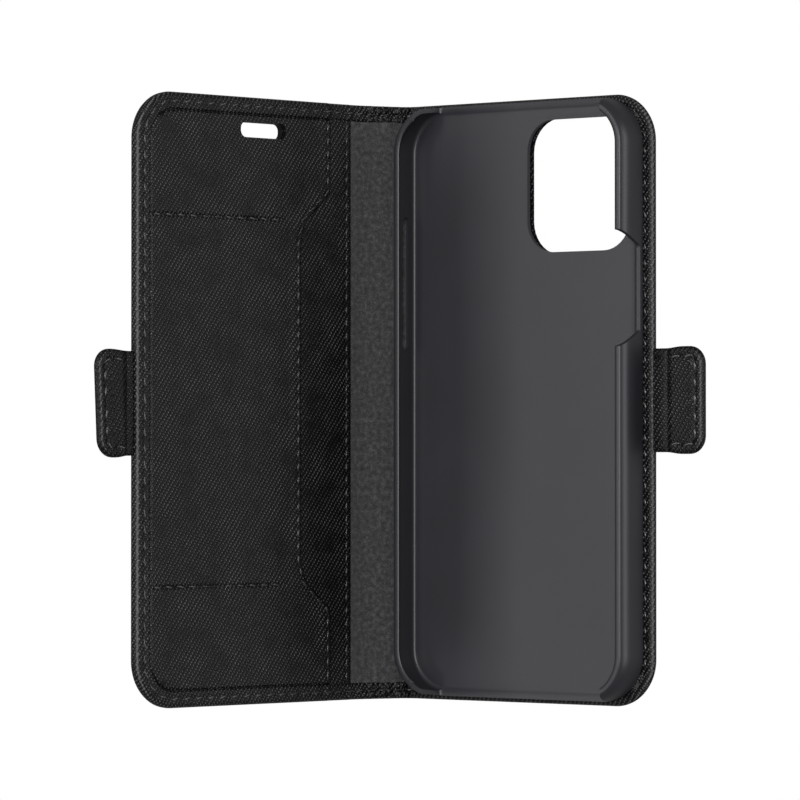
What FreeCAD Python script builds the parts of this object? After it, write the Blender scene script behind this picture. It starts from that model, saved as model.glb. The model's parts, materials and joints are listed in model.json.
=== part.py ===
import FreeCAD, Part
import math
import os
from FreeCAD import Vector

# Folio phone wallet case: front cover with a card pocket, spine, back cover with a moulded tray
# for the phone, and a folding magnetic closing tab on each cover.
#
# Every panel is drawn flat in its own frame: u runs away from its fold axis, n rises from the middle
# of the outer leather towards the inside of the case, and z is up. The back cover lies along +X with
# its inside facing -Y. The spine and the front cover are then turned about their vertical fold axes.

# ---- overall sizes (mm) ----
HEIGHT = 153.0
BACK_WIDTH = 78.5
FRONT_WIDTH = 77.0
SPINE_WIDTH = 15.0
CORNER_RADIUS = 12.0

# ---- how far the case stands open (degrees away from lying flat) ----
BACK_FOLD_REST = 61.8
COVER_FOLD_REST = 21.1

# ---- layers, as heights n above the middle of the outer leather ----
LEATHER_HALF = 0.45
BOARD_TOP = 1.25
PANEL_TOP = 1.85
SPINE_BOARD_TOP = 1.05
SPINE_LINING_TOP = 1.50
SPINE_BAND_TOP = 1.65
TAPE_TOP = 2.00
TRAY_FLOOR = 3.10
TRAY_RIM = 11.30

# ---- edges and folds ----
TURNED_BAND = 4.3
EDGE_WALL = 0.9
FOLD_GAP = 0.35
LAYER_SETBACK = 2.6
SPINE_SETBACK = 1.2
SEAM_FIT = 0.1

# ---- stitching ----
STITCH_INSET = 2.3
THREAD_WIDTH = 0.5
THREAD_RISE = 0.15

# ---- card pocket on the front cover ----
POCKET_GAP_TOP = 2.35
POCKET_TOP = 2.95
POCKET_EDGE_U = 11.9
POCKET_WAIST_U = 22.2
POCKET_SHOULDERS_Z = (23.6, 31.0, 120.7, 130.0)
POCKET_BEND_RADIUS = 3.0
POCKET_RIM = 1.5
CARD_STOPS_Z = (30.0, 122.4)
CARD_STOP_START_U = 28.3
PANEL_EDGE_U = 3.9
PANEL_STITCH_U = 5.6

# ---- speaker slot through the front cover ----
SLOT_U = (27.3, 42.7)
SLOT_Z = (142.5, 146.7)
SLOT_RADIUS = 1.6

# ---- moulded phone tray on the back cover ----
TRAY_U = (2.6, 76.2)
TRAY_Z = (1.1, 152.2)
TRAY_WALL = 1.05
TRAY_LIP = 0.6
TRAY_RIM_INSET = 0.9
TRAY_FOOT_INSET = 0.5
TRAY_FULL_FROM = 2.9
TRAY_FULL_TO = 8.4
END_GRIP_LENGTH = 6.9
END_SLOPE = 3.0
POWER_CUT_Z = (89.4, 119.0)
POWER_CUT_SLOPE = 4.0
POWER_CUT_FLOOR = 3.6
VOLUME_WINDOW_Z = (89.0, 125.0)
VOLUME_WINDOW_N = (4.0, 9.0)
VOLUME_WINDOW_RADIUS = 2.0
WALL_CUT_REACH = 3.0

# ---- camera window through the back cover ----
CAMERA_U = (40.5, 72.5)
CAMERA_Z = (114.0, 147.5)
CAMERA_RADIUS = 8.0

# ---- closing tabs ----
TAB_HEIGHT = 26.7
TAB_MIDDLE_Z = HEIGHT / 2
TAB_RADIUS = 4.5
TAB_LEVEL = (LEATHER_HALF + BOARD_TOP) / 2
TAB_HALF_AT_FOLD = (BOARD_TOP - LEATHER_HALF) / 2
TAB_HALF = 0.9
TAB_RAMP = 2.4
TAB_EDGE_SLOPE = 0.8
TAB_EDGE_DROP = 0.5
TAB_ROOT_TUCK = 5.3
TAB_FOLD_GAP = 0.4
TAB_WAIST = 0.5
FRONT_TAB_FOLD_U = 79.0
FRONT_TAB_LENGTH = 10.3
BACK_TAB_FOLD_U = 82.4
BACK_TAB_LENGTH = 11.3
MAGNET_HALF = 0.4
MAGNET_LENGTH = 5.6
MAGNET_HEIGHT = 19.0
MAGNET_RADIUS = 1.5
TAB_STITCH_INSET = 1.2

# +1 draws a panel along +X (back cover), -1 along -X (spine and front cover).
BACK = 1
FRONT = -1

Z_AXIS = Vector(0, 0, 1)


# ---- drawing helpers ----

def rounded_wire(corners, n):
    """Closed wire through (x, z, radius) corners at height n, with each corner rounded."""
    starts, middles, ends = [], [], []
    count = len(corners)
    for index in range(count):
        x, z, radius = corners[index]
        here = Vector(x, -n, z)
        before = Vector(corners[index - 1][0], -n, corners[index - 1][1])
        after = Vector(corners[(index + 1) % count][0], -n, corners[(index + 1) % count][1])
        back = (before - here).normalize()
        ahead = (after - here).normalize()
        if radius <= 0:
            starts.append(here)
            middles.append(None)
            ends.append(here)
            continue
        half_turn = (math.pi - back.getAngle(ahead)) / 2
        reach = radius * math.tan(half_turn)
        sink = radius / math.cos(half_turn) - radius
        bisector = (back + ahead).normalize()
        starts.append(here + back * reach)
        middles.append(here + bisector * sink)
        ends.append(here + ahead * reach)
    edges = []
    for index in range(count):
        if middles[index] is not None:
            edges.append(Part.Arc(starts[index], middles[index], ends[index]).toShape())
        following = starts[(index + 1) % count]
        if (following - ends[index]).Length > 1e-6:
            edges.append(Part.LineSegment(ends[index], following).toShape())
    return Part.Wire(edges)


def plate(side, corners, low, high):
    """Flat plate with rounded (u, z, radius) corners, between the heights low and high."""
    placed = [(side * u, z, radius) for u, z, radius in corners]
    face = Part.Face(rounded_wire(placed, low))
    return face.extrude(Vector(0, low - high, 0))


def rectangle(u_range, z_range, radius=0.0):
    (u0, u1), (z0, z1) = u_range, z_range
    return [(u0, z0, radius), (u1, z0, radius), (u1, z1, radius), (u0, z1, radius)]


def block(side, u_range, z_range, low, high, radius=0.0):
    return plate(side, rectangle(u_range, z_range, radius), low, high)


def upright(profile, z0, z1):
    """Prism standing along z, from a closed (x, n) outline."""
    points = [Vector(x, -n, z0) for x, n in profile]
    wire = Part.makePolygon(points + [points[0]])
    return Part.Face(wire).extrude(Vector(0, 0, z1 - z0))


def cover_corners(width, inset, start):
    """Outline of a cover panel: square at the fold, rounded at its two free corners."""
    radius = CORNER_RADIUS - inset
    low, high, end = inset, HEIGHT - inset, width - inset
    return [(start, low, 0), (end, low, radius), (end, high, radius), (start, high, 0)]


# ---- pieces that both covers share ----

def cover_leather(side, width):
    """Outer leather with its turned edge: a sheet, an edge wall and a band on the inside."""
    sheet_start = LEATHER_HALF + FOLD_GAP
    sheet = plate(side, cover_corners(width, 0, sheet_start), -LEATHER_HALF, LEATHER_HALF)
    frame = plate(side, cover_corners(width, 0, LAYER_SETBACK), LEATHER_HALF, PANEL_TOP)
    board_room = plate(side, cover_corners(width, EDGE_WALL, LAYER_SETBACK - 1), LEATHER_HALF, BOARD_TOP)
    panel_room = plate(side, cover_corners(width, TURNED_BAND, LAYER_SETBACK - 1), BOARD_TOP, PANEL_TOP)
    leather = sheet.fuse(frame).cut(board_room).cut(panel_room)
    return leather.cut(edge_threads(side, width, -LEATHER_HALF)).removeSplitter()


def tab_tongue(side, width, fold_u):
    """The part of a tab that is tucked under the turned edge and reaches to the tab's fold."""
    end = fold_u - TAB_HALF_AT_FOLD - TAB_FOLD_GAP
    half = TAB_HEIGHT / 2
    z_range = (TAB_MIDDLE_Z - half, TAB_MIDDLE_Z + half)
    return block(side, (width - TAB_ROOT_TUCK, end), z_range, LEATHER_HALF, BOARD_TOP)


def tab_passage(side, width):
    half = TAB_HEIGHT / 2 + SEAM_FIT
    z_range = (TAB_MIDDLE_Z - half, TAB_MIDDLE_Z + half)
    return block(side, (width - TAB_ROOT_TUCK - SEAM_FIT, width + 1), z_range, LEATHER_HALF, BOARD_TOP)


def edge_threads(side, width, low):
    """Thread along the three free edges of a cover, from the height low."""
    half = THREAD_WIDTH / 2
    start = LAYER_SETBACK + 0.3
    high = low + THREAD_RISE
    row = plate(side, cover_corners(width, STITCH_INSET - half, start), low, high)
    return row.cut(plate(side, cover_corners(width, STITCH_INSET + half, start - 1), low, high))


def cover_stitching(side, width):
    """Threads that stand on the inside and lie flush in a groove on the outside."""
    rows = [edge_threads(side, width, low) for low in (PANEL_TOP, -LEATHER_HALF)]
    return Part.makeCompound(rows)


# ---- front cover ----

def slot_hole(margin, low, high):
    u_range = (SLOT_U[0] - margin, SLOT_U[1] + margin)
    z_range = (SLOT_Z[0] - margin, SLOT_Z[1] + margin)
    return block(FRONT, u_range, z_range, low, high, SLOT_RADIUS + margin)


def pocket_corners(edge_shift, inset):
    """Pocket outline: its mouth faces the spine and steps back between two sloped shoulders."""
    edge = POCKET_EDGE_U + edge_shift
    waist = POCKET_WAIST_U + edge_shift
    low_out, low_in, high_in, high_out = POCKET_SHOULDERS_Z
    free = cover_corners(FRONT_WIDTH, inset, edge)
    mouth = [(edge, high_out), (waist, high_in), (waist, low_in), (edge, low_out)]
    return free + [(u, z, POCKET_BEND_RADIUS) for u, z in mouth]


def front_pieces():
    passage = tab_passage(FRONT, FRONT_WIDTH)
    leather = cover_leather(FRONT, FRONT_WIDTH).cut(passage)
    leather = leather.cut(slot_hole(0, -5, 5))
    board = plate(FRONT, cover_corners(FRONT_WIDTH, EDGE_WALL, LAYER_SETBACK), LEATHER_HALF, BOARD_TOP)
    board = board.cut(passage).cut(slot_hole(0.4, -5, 5))
    panel = plate(FRONT, cover_corners(FRONT_WIDTH, TURNED_BAND, PANEL_EDGE_U), BOARD_TOP, PANEL_TOP)
    panel = panel.cut(slot_hole(0, -5, 5))
    margin_u = (LAYER_SETBACK, PANEL_EDGE_U)
    margin = block(FRONT, margin_u, (TURNED_BAND, HEIGHT - TURNED_BAND), BOARD_TOP, PANEL_TOP - 0.1)
    return {
        "front_outer_leather": leather,
        "front_board": board,
        "front_inner_panel": panel,
        "front_lining_margin": margin,
        "card_pocket": card_pocket(),
        "front_perimeter_stitching": cover_stitching(FRONT, FRONT_WIDTH),
        "pocket_edge_stitching": pocket_edge_stitching(),
        "card_stop_stitching": card_stop_stitching(),
        "inner_panel_stitching": inner_panel_stitching(),
        "front_tab_root": tab_tongue(FRONT, FRONT_WIDTH, FRONT_TAB_FOLD_U),
    }


def card_pocket():
    """Pocket leather, sewn down at its rim, along both card stops and around the speaker slot."""
    inset = TURNED_BAND + SEAM_FIT
    skin = plate(FRONT, pocket_corners(0, inset), POCKET_GAP_TOP, POCKET_TOP)
    rim = plate(FRONT, cover_corners(FRONT_WIDTH, inset, POCKET_EDGE_U), PANEL_TOP, POCKET_GAP_TOP)
    room = cover_corners(FRONT_WIDTH, inset + POCKET_RIM, POCKET_EDGE_U - 1)
    rim = rim.cut(plate(FRONT, room, PANEL_TOP, POCKET_GAP_TOP))
    pocket = skin.fuse(rim)
    stop_u = (CARD_STOP_START_U, FRONT_WIDTH - inset)
    for z in CARD_STOPS_Z:
        rib = block(FRONT, stop_u, (z - THREAD_WIDTH, z + THREAD_WIDTH), PANEL_TOP, POCKET_GAP_TOP)
        pocket = pocket.fuse(rib)
    pocket = pocket.fuse(slot_hole(POCKET_RIM, PANEL_TOP, POCKET_GAP_TOP))
    return pocket.cut(slot_hole(0, -5, 5)).removeSplitter()


def pocket_edge_stitching():
    inset = TURNED_BAND + 0.4
    low, high = POCKET_TOP, POCKET_TOP + THREAD_RISE
    row = plate(FRONT, pocket_corners(1.0 - THREAD_WIDTH / 2, inset), low, high)
    return row.cut(plate(FRONT, pocket_corners(1.0 + THREAD_WIDTH / 2, inset), low, high))


def card_stop_stitching():
    rows = []
    half = THREAD_WIDTH / 2
    for z in CARD_STOPS_Z:
        u_range = (CARD_STOP_START_U, FRONT_WIDTH - TURNED_BAND - 0.4)
        rows.append(block(FRONT, u_range, (z - half, z + half), POCKET_TOP, POCKET_TOP + THREAD_RISE))
    return Part.makeCompound(rows)


def inner_panel_stitching():
    half = THREAD_WIDTH / 2
    z_range = (TURNED_BAND + 0.4, HEIGHT - TURNED_BAND - 0.4)
    u_range = (PANEL_STITCH_U - half, PANEL_STITCH_U + half)
    return block(FRONT, u_range, z_range, PANEL_TOP, PANEL_TOP + THREAD_RISE)


# ---- spine ----

def spine_pieces():
    """Spine strip between its two fold axes, with a rounded knuckle on each axis."""
    span = (SPINE_SETBACK, SPINE_WIDTH - SPINE_SETBACK)
    sheet = block(FRONT, (0, SPINE_WIDTH), (0, HEIGHT), -LEATHER_HALF, LEATHER_HALF)
    for x in (0, -SPINE_WIDTH):
        sheet = sheet.fuse(Part.makeCylinder(LEATHER_HALF, HEIGHT, Vector(x, 0, 0), Z_AXIS))
    frame = block(FRONT, span, (0, HEIGHT), LEATHER_HALF, SPINE_BAND_TOP)
    wide = (0, SPINE_WIDTH)
    board_z = (EDGE_WALL, HEIGHT - EDGE_WALL)
    lining_z = (TURNED_BAND, HEIGHT - TURNED_BAND)
    frame = frame.cut(block(FRONT, wide, board_z, LEATHER_HALF, SPINE_BOARD_TOP))
    frame = frame.cut(block(FRONT, wide, lining_z, SPINE_BOARD_TOP, SPINE_BAND_TOP))
    rows = []
    half = THREAD_WIDTH / 2
    for z in (STITCH_INSET, HEIGHT - STITCH_INSET):
        for low in (SPINE_BAND_TOP, -LEATHER_HALF):
            rows.append(block(FRONT, span, (z - half, z + half), low, low + THREAD_RISE))
    threads = Part.makeCompound(rows)
    return {
        "spine_outer_leather": sheet.fuse(frame).cut(threads).removeSplitter(),
        "spine_board": block(FRONT, span, board_z, LEATHER_HALF, SPINE_BOARD_TOP),
        "spine_lining": block(FRONT, span, lining_z, SPINE_BOARD_TOP, SPINE_LINING_TOP),
        "spine_edge_stitching": threads,
    }


# ---- back cover and phone tray ----

def camera_hole(margin):
    u_range = (CAMERA_U[0] - margin, CAMERA_U[1] + margin)
    z_range = (CAMERA_Z[0] - margin, CAMERA_Z[1] + margin)
    return block(BACK, u_range, z_range, -5, TRAY_RIM, CAMERA_RADIUS + margin)


def tray_section(inset, n):
    u_range = (TRAY_U[0] + inset, TRAY_U[1] - inset)
    z_range = (TRAY_Z[0] + inset, TRAY_Z[1] - inset)
    return rounded_wire(rectangle(u_range, z_range, CORNER_RADIUS - inset), n)


def tray_body(levels):
    """Solid through rounded rectangles at rising heights, given as (inset, n)."""
    return Part.makeLoft([tray_section(inset, n) for inset, n in levels], True, True)


def power_cut():
    """Notch for the power button in the outer side wall, wider at the rim than at its floor."""
    z0, z1 = POWER_CUT_Z
    above = POWER_CUT_SLOPE
    top = 2 * TRAY_RIM - POWER_CUT_FLOOR
    points = [
        (z0 - above, top), (z1 + above, top),
        (z1 - above, POWER_CUT_FLOOR), (z0 + above, POWER_CUT_FLOOR), (z0 - above, top),
    ]
    inner_x, outer_x = TRAY_U[1] - WALL_CUT_REACH, TRAY_U[1] + 1
    wire = Part.makePolygon([Vector(inner_x, -n, z) for z, n in points])
    return Part.Face(wire).extrude(Vector(outer_x - inner_x, 0, 0))


def volume_window():
    """Closed window for the volume keys in the wall beside the spine."""
    (z0, z1), (n0, n1) = VOLUME_WINDOW_Z, VOLUME_WINDOW_N
    window = Part.makeBox(WALL_CUT_REACH + 1, n1 - n0, z1 - z0, Vector(TRAY_U[0] - 1, -n1, z0))
    across = [edge for edge in window.Edges if edge.BoundBox.XLength > WALL_CUT_REACH]
    return window.makeFillet(VOLUME_WINDOW_RADIUS, across)


def end_cut(z_range):
    """Gap in an end wall between the two corner grips, down to the tray's floor."""
    low_u = TRAY_U[0] + END_GRIP_LENGTH
    high_u = TRAY_U[1] - END_GRIP_LENGTH
    profile = [
        (low_u, TRAY_RIM + 1), (high_u, TRAY_RIM + 1),
        (high_u - END_SLOPE, TRAY_FLOOR), (low_u + END_SLOPE, TRAY_FLOOR),
    ]
    return upright(profile, z_range[0], z_range[1])


def phone_tray():
    outside = tray_body([
        (TRAY_FOOT_INSET, TAPE_TOP), (0, TRAY_FULL_FROM), (0, TRAY_FULL_TO), (TRAY_RIM_INSET, TRAY_RIM),
    ])
    wall = TRAY_WALL
    lip = TRAY_RIM_INSET + wall + TRAY_LIP
    inside = tray_body([
        (wall + 0.2, TRAY_FLOOR), (wall, TRAY_FLOOR + 0.8), (wall, TRAY_FULL_TO),
        (TRAY_RIM_INSET + wall, TRAY_RIM - 0.5), (lip, TRAY_RIM - 0.3), (lip, TRAY_RIM + 0.2),
    ])
    tray = outside.cut(inside)
    tray = tray.cut(power_cut()).cut(volume_window())
    tray = tray.cut(end_cut((TRAY_Z[0] - 1, TRAY_Z[0] + 4)))
    tray = tray.cut(end_cut((TRAY_Z[1] - 4, TRAY_Z[1] + 1)))
    return tray.cut(camera_hole(0))


def back_pieces():
    passage = tab_passage(BACK, BACK_WIDTH)
    leather = cover_leather(BACK, BACK_WIDTH).cut(passage).cut(camera_hole(0.5))
    board = plate(BACK, cover_corners(BACK_WIDTH, EDGE_WALL, LAYER_SETBACK), LEATHER_HALF, BOARD_TOP)
    lining = plate(BACK, cover_corners(BACK_WIDTH, TURNED_BAND, LAYER_SETBACK), BOARD_TOP, PANEL_TOP)
    tape_inset = TURNED_BAND + 2
    tape_u = (TRAY_U[0] + tape_inset, TRAY_U[1] - tape_inset)
    tape_z = (tape_inset, HEIGHT - tape_inset)
    tape = block(BACK, tape_u, tape_z, PANEL_TOP, TAPE_TOP, CORNER_RADIUS - tape_inset)
    return {
        "back_outer_leather": leather,
        "back_board": board.cut(passage).cut(camera_hole(1.0)),
        "back_lining": lining.cut(camera_hole(0.7)),
        "tray_tape": tape.cut(camera_hole(1.5)),
        "phone_tray": phone_tray(),
        "back_perimeter_stitching": cover_stitching(BACK, BACK_WIDTH),
        "back_tab_root": tab_tongue(BACK, BACK_WIDTH, BACK_TAB_FOLD_U),
    }


# ---- closing tabs ----

def tab_corners(fold_u, length, inset):
    half = TAB_HEIGHT / 2 - inset
    near_half = half - TAB_WAIST
    low, high = TAB_MIDDLE_Z - half, TAB_MIDDLE_Z + half
    radius = TAB_RADIUS - inset
    start = fold_u - 1 + inset
    end = fold_u + length - inset
    bend = fold_u + 2.0
    return [
        (start, TAB_MIDDLE_Z - near_half, 0), (fold_u, TAB_MIDDLE_Z - near_half, 0),
        (bend, low, 0), (end, low, radius), (end, high, radius),
        (bend, high, 0), (fold_u, TAB_MIDDLE_Z + near_half, 0), (start, TAB_MIDDLE_Z + near_half, 0),
    ]


def tab_half(side, fold_u, length, towards):
    """One leather face of a tab. towards is -1 for the outer face and +1 for the inner one."""
    end = fold_u + length
    profile = [
        (fold_u, 0), (fold_u, TAB_HALF_AT_FOLD), (fold_u + TAB_RAMP, TAB_HALF),
        (end - TAB_EDGE_SLOPE, TAB_HALF), (end, TAB_HALF - TAB_EDGE_DROP), (end, 0),
    ]
    low_z = TAB_MIDDLE_Z - TAB_HEIGHT
    high_z = TAB_MIDDLE_Z + TAB_HEIGHT
    placed = [(side * u, TAB_LEVEL + towards * n) for u, n in profile]
    half = upright(placed, low_z, high_z)
    knuckle_at = Vector(side * fold_u, -TAB_LEVEL, low_z)
    knuckle = Part.makeCylinder(TAB_HALF_AT_FOLD, high_z - low_z, knuckle_at, Z_AXIS)
    wide = (fold_u - 2, fold_u + 2)
    if towards < 0:
        keep = block(side, wide, (low_z, high_z), TAB_LEVEL - 2, TAB_LEVEL)
    else:
        keep = block(side, wide, (low_z, high_z), TAB_LEVEL, TAB_LEVEL + 2)
    half = half.fuse(knuckle.common(keep))
    outline = plate(side, tab_corners(fold_u, length, 0), -5, 5)
    return half.common(outline).cut(magnet(side, fold_u, length)).removeSplitter()


def magnet(side, fold_u, length):
    middle = fold_u + (TAB_RAMP + length) / 2
    u_range = (middle - MAGNET_LENGTH / 2, middle + MAGNET_LENGTH / 2)
    z_range = (TAB_MIDDLE_Z - MAGNET_HEIGHT / 2, TAB_MIDDLE_Z + MAGNET_HEIGHT / 2)
    return block(side, u_range, z_range, TAB_LEVEL - MAGNET_HALF, TAB_LEVEL + MAGNET_HALF, MAGNET_RADIUS)


def tab_stitching(side, fold_u, length):
    """Threads around the pad of a tab, on both faces."""
    half = THREAD_WIDTH / 2
    u_range = (fold_u + TAB_RAMP + 0.1, fold_u + length - TAB_STITCH_INSET)
    reach = TAB_HEIGHT / 2 - TAB_STITCH_INSET
    z_range = (TAB_MIDDLE_Z - reach, TAB_MIDDLE_Z + reach)
    radius = TAB_RADIUS - TAB_STITCH_INSET
    inner_u = (u_range[0] + 2 * half, u_range[1] - 2 * half)
    inner_z = (z_range[0] + 2 * half, z_range[1] - 2 * half)
    rows = []
    for low in (TAB_LEVEL + TAB_HALF, TAB_LEVEL - TAB_HALF - THREAD_RISE):
        high = low + THREAD_RISE
        ring = block(side, u_range, z_range, low, high, radius)
        rows.append(ring.cut(block(side, inner_u, inner_z, low, high, radius - 2 * half)))
    return Part.makeCompound(rows)


def tab_pieces(name, side, fold_u, length):
    return {
        name + "_outer_leather": tab_half(side, fold_u, length, -1),
        name + "_inner_leather": tab_half(side, fold_u, length, +1),
        name + "_magnet": magnet(side, fold_u, length),
        name + "_stitching": tab_stitching(side, fold_u, length),
    }


# ---- assembly: open the case to the angle it stands at ----

def turned(shape, angle, centre):
    copy = shape.copy()
    copy.rotate(centre, Z_AXIS, angle)
    return copy


def along_spine(angle, distance):
    radians = math.radians(angle)
    return Vector(-distance * math.cos(radians), -distance * math.sin(radians), 0)


BACK_AXIS = Vector(0, 0, 0)
COVER_AXIS = along_spine(BACK_FOLD_REST, SPINE_WIDTH)
FRONT_ANGLE = BACK_FOLD_REST + COVER_FOLD_REST


def assemble():
    pieces = {}
    pieces.update(back_pieces())
    pieces.update(tab_pieces("back_tab", BACK, BACK_TAB_FOLD_U, BACK_TAB_LENGTH))
    for name, shape in spine_pieces().items():
        pieces[name] = turned(shape, BACK_FOLD_REST, BACK_AXIS)
    front = front_pieces()
    front.update(tab_pieces("front_tab", FRONT, FRONT_TAB_FOLD_U, FRONT_TAB_LENGTH))
    for name, shape in front.items():
        opened = turned(shape, FRONT_ANGLE, Vector(0, 0, 0))
        opened.translate(COVER_AXIS)
        pieces[name] = opened
    return pieces


def origin_shift(pieces):
    """Move that puts the origin at the middle of the whole case's base."""
    box = Part.makeCompound(list(pieces.values())).optimalBoundingBox(False, False)
    return Vector(-(box.XMin + box.XMax) / 2, -(box.YMin + box.YMax) / 2, -box.ZMin)


PIECES = assemble()
SHIFT = origin_shift(PIECES)
os.makedirs("parts", exist_ok=True)
for node, solid in PIECES.items():
    solid.translate(SHIFT)
    solid.exportStep("parts/" + node + ".step")
print("origin shift", [round(value, 4) for value in SHIFT])
print("cover fold axis", [round(value, 4) for value in COVER_AXIS + SHIFT])
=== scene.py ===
import bmesh
import bpy
import json
import math
from collections import namedtuple
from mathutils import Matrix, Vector


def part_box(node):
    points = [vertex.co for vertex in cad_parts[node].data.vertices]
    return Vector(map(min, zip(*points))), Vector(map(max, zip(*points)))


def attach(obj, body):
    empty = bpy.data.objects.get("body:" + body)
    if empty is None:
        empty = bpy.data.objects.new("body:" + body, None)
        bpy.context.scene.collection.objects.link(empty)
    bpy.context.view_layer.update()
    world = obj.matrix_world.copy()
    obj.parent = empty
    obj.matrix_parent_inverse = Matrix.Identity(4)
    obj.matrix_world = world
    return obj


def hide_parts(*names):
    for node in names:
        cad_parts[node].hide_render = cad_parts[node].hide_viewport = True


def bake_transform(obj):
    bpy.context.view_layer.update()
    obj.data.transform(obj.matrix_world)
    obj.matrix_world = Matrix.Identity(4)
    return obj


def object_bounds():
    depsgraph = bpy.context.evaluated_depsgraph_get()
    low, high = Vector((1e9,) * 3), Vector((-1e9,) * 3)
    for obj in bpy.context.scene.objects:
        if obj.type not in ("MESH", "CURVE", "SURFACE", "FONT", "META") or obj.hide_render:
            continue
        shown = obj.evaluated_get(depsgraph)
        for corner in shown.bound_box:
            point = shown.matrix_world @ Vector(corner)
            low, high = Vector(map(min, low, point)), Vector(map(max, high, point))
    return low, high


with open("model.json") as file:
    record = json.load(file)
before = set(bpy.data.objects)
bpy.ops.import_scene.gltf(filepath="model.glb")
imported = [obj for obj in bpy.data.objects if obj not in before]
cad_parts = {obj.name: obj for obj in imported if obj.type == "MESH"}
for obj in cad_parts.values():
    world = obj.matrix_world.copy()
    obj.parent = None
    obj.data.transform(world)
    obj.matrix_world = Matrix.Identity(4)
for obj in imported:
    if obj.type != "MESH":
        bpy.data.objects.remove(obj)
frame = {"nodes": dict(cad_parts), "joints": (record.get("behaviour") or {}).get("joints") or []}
CAD_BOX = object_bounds()
NODES = frame["nodes"]
JOINTS = {joint["name"]: joint for joint in frame["joints"]}
MM = 0.001

# ---------------------------------------------------------------------------------------------
# The case's own measures, in millimetres. The covers and the spine are drawn flat, side by side:
# U runs from the front cover's free edge (below zero), across the spine, to the back cover's free
# edge (above zero), with U = 0 on the back fold. n is the height above the middle of the outer
# leather towards the inside of the case, and z is up. bent() folds that flat drawing into place.
# ---------------------------------------------------------------------------------------------

BACK_AXIS = Vector(JOINTS["back_fold"]["pos_m"]) / MM
COVER_AXIS = Vector(JOINTS["cover_fold"]["pos_m"]) / MM
FRONT_TAB_AXIS = Vector(JOINTS["front_tab_fold"]["pos_m"]) / MM
BACK_TAB_AXIS = Vector(JOINTS["back_tab_fold"]["pos_m"]) / MM
SPINE = (COVER_AXIS - BACK_AXIS).length
SPINE_TURN = math.atan2(BACK_AXIS.y - COVER_AXIS.y, BACK_AXIS.x - COVER_AXIS.x)

low_corner, high_corner = CAD_BOX
HEIGHT = (high_corner.z - low_corner.z) / MM
BACK_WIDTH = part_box("back_outer_leather")[1].x / MM - BACK_AXIS.x


def front_reach(node):
    """Farthest reach of a node from the cover fold, square to the fold."""
    places = [Vector((v.co.x, v.co.y)) / MM for v in NODES[node].data.vertices]
    return max((place - COVER_AXIS.xy).length for place in places)


# The front cover's direction is that of its fold line to its tab's fold line.
TAB_LEVEL = BACK_AXIS.y - BACK_TAB_AXIS.y
BACK_TAB_U = BACK_TAB_AXIS.x - BACK_AXIS.x
to_tab = (FRONT_TAB_AXIS - COVER_AXIS).xy
FRONT_TAB_U = math.sqrt(to_tab.length_squared - TAB_LEVEL ** 2)
FRONT_TURN = math.atan2(-to_tab.y, -to_tab.x) - math.atan2(TAB_LEVEL, FRONT_TAB_U)
BAND_TOP = 1.85
FRONT_WIDTH = math.sqrt(front_reach("front_outer_leather") ** 2 - BAND_TOP ** 2)

CORNER = 12.0
BAND = 4.3
STITCH_INSET = 2.3
OUTER_FACE = -0.45

BACK_FOLD_REACH = 3.4
COVER_FOLD_REACH = 5.0


def direction(turn):
    """Unit vector from a fold towards the front cover's side, for a panel turned that far."""
    return Vector((-math.cos(turn), -math.sin(turn)))


def inward(turn):
    """Unit vector out of a panel's inner face."""
    return Vector((math.sin(turn), -math.cos(turn)))


def bent(u, n, z):
    """Place in the row frame, in metres, of a point of the flat drawing."""
    b, a = BACK_AXIS.xy, COVER_AXIS.xy
    if u > BACK_FOLD_REACH:
        p = b + Vector((u, -n))
    elif u > -BACK_FOLD_REACH:
        p = round_fold(b + Vector((BACK_FOLD_REACH, 0)), 0.0, SPINE_TURN, BACK_FOLD_REACH, u, n)
    elif u > -SPINE + COVER_FOLD_REACH:
        p = b + direction(SPINE_TURN) * -u + inward(SPINE_TURN) * n
    elif u > -SPINE - COVER_FOLD_REACH:
        start = a - direction(SPINE_TURN) * COVER_FOLD_REACH
        turn = FRONT_TURN - SPINE_TURN
        p = round_fold(start, SPINE_TURN, turn, COVER_FOLD_REACH, u + SPINE, n)
    else:
        p = a + direction(FRONT_TURN) * (-u - SPINE) + inward(FRONT_TURN) * n
    return Vector((p.x, p.y, z)) * MM


def round_fold(start, turn, angle, reach, u, n):
    """A fold drawn as an arc that begins at start and turns through angle over twice the reach."""
    radius = reach / math.tan(angle / 2)
    centre = start + inward(turn) * radius
    share = (reach - u) / (2 * reach)
    return centre - inward(turn + share * angle) * (radius - n)


def on_front(u, n, z):
    """A point of the front cover, with u counted from the cover fold."""
    return bent(-SPINE - u, n, z)


def on_back(u, n, z):
    """A point of the back cover's own flat frame, with u counted from the back fold."""
    return Vector((BACK_AXIS.x + u, BACK_AXIS.y - n, z)) * MM


def smooth_step(x, low, high):
    t = min(1.0, max(0.0, (x - low) / (high - low)))
    return t * t * (3 - 2 * t)


def between(x, table):
    """Smooth reading of a short table of (x, value) pairs."""
    for (x0, y0), (x1, y1) in zip(table, table[1:]):
        if x <= x1:
            return y0 + (y1 - y0) * smooth_step(x, x0, x1)
    return table[-1][1]


# ---------------------------------------------------------------------------------------------
# Meshes
# ---------------------------------------------------------------------------------------------

SHARP_ANGLE = math.radians(38)


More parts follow.
